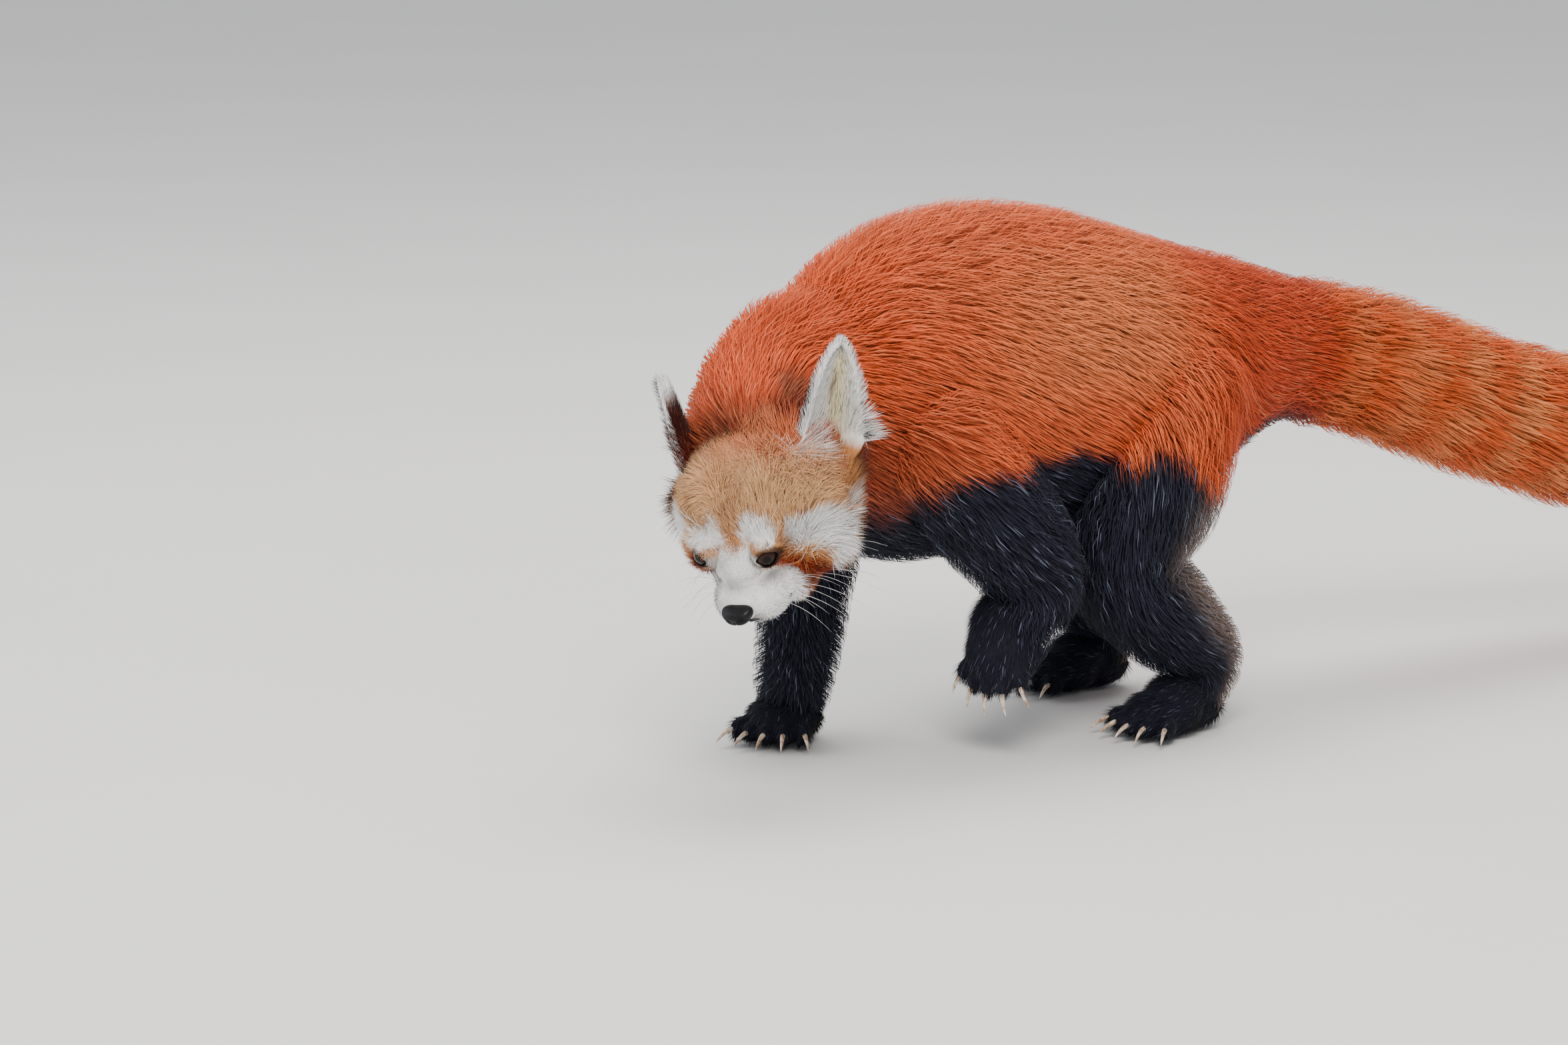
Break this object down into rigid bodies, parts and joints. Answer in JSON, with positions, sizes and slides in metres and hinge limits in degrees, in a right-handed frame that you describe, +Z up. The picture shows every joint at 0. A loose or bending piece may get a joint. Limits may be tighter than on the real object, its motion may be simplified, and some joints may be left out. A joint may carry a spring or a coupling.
{
  "type": "red panda",
  "caption": "Life-size model of a red panda walking with its head lowered and turned, with a bushy ringed tail.",
  "frame": {"origin": "centre of the bounding box's base, on the floor under the body", "axes": "+Z up from the floor; the body lies along X with its tail towards +X and walks towards -X; its left side faces -Y"},
  "size_m": [0.9624, 0.2424, 0.3583],
  "materials": {
    "red_coat": "red-brown fur",
    "black_coat": "blue-black fur",
    "tail_coat": "orange-red fur with pale rings",
    "face_coat": "tan fur with white patches",
    "ear_coat": "creamy white fur",
    "nose_leather": "moist black leather",
    "eye": "wet dark brown",
    "claw_horn": "pale horn"
  },
  "bodies": {
    "root": {"claw_forepaw_left_1": "claw_horn", "claw_forepaw_left_2": "claw_horn", "claw_forepaw_left_3": "claw_horn", "claw_forepaw_left_4": "claw_horn", "claw_forepaw_left_5": "claw_horn", "claw_forepaw_right_1": "claw_horn", "claw_forepaw_right_2": "claw_horn", "claw_forepaw_right_3": "claw_horn", "claw_forepaw_right_4": "claw_horn", "claw_forepaw_right_5": "claw_horn", "claw_hindpaw_left_1": "claw_horn", "claw_hindpaw_left_2": "claw_horn", "claw_hindpaw_left_3": "claw_horn", "claw_hindpaw_left_4": "claw_horn", "claw_hindpaw_left_5": "claw_horn", "claw_hindpaw_right_1": "claw_horn", "claw_hindpaw_right_2": "claw_horn", "claw_hindpaw_right_3": "claw_horn", "claw_hindpaw_right_4": "claw_horn", "claw_hindpaw_right_5": "claw_horn", "ear_left": "ear_coat", "ear_right": "ear_coat", "eye_left": "eye", "eye_right": "eye", "forearm_left": "black_coat", "forearm_right": "black_coat", "forepaw_left": "black_coat", "forepaw_right": "black_coat", "head": "face_coat", "hindpaw_left": "black_coat", "hindpaw_right": "black_coat", "neck": "red_coat", "nose": "nose_leather", "shin_left": "black_coat", "shin_right": "black_coat", "tail_1": "tail_coat", "tail_2": "tail_coat", "tail_3": "tail_coat", "tail_4": "tail_coat", "thigh_left": "black_coat", "thigh_right": "black_coat", "torso_front": "red_coat", "torso_rear": "red_coat", "upper_arm_left": "black_coat", "upper_arm_right": "black_coat"}
  },
  "joints": []
}
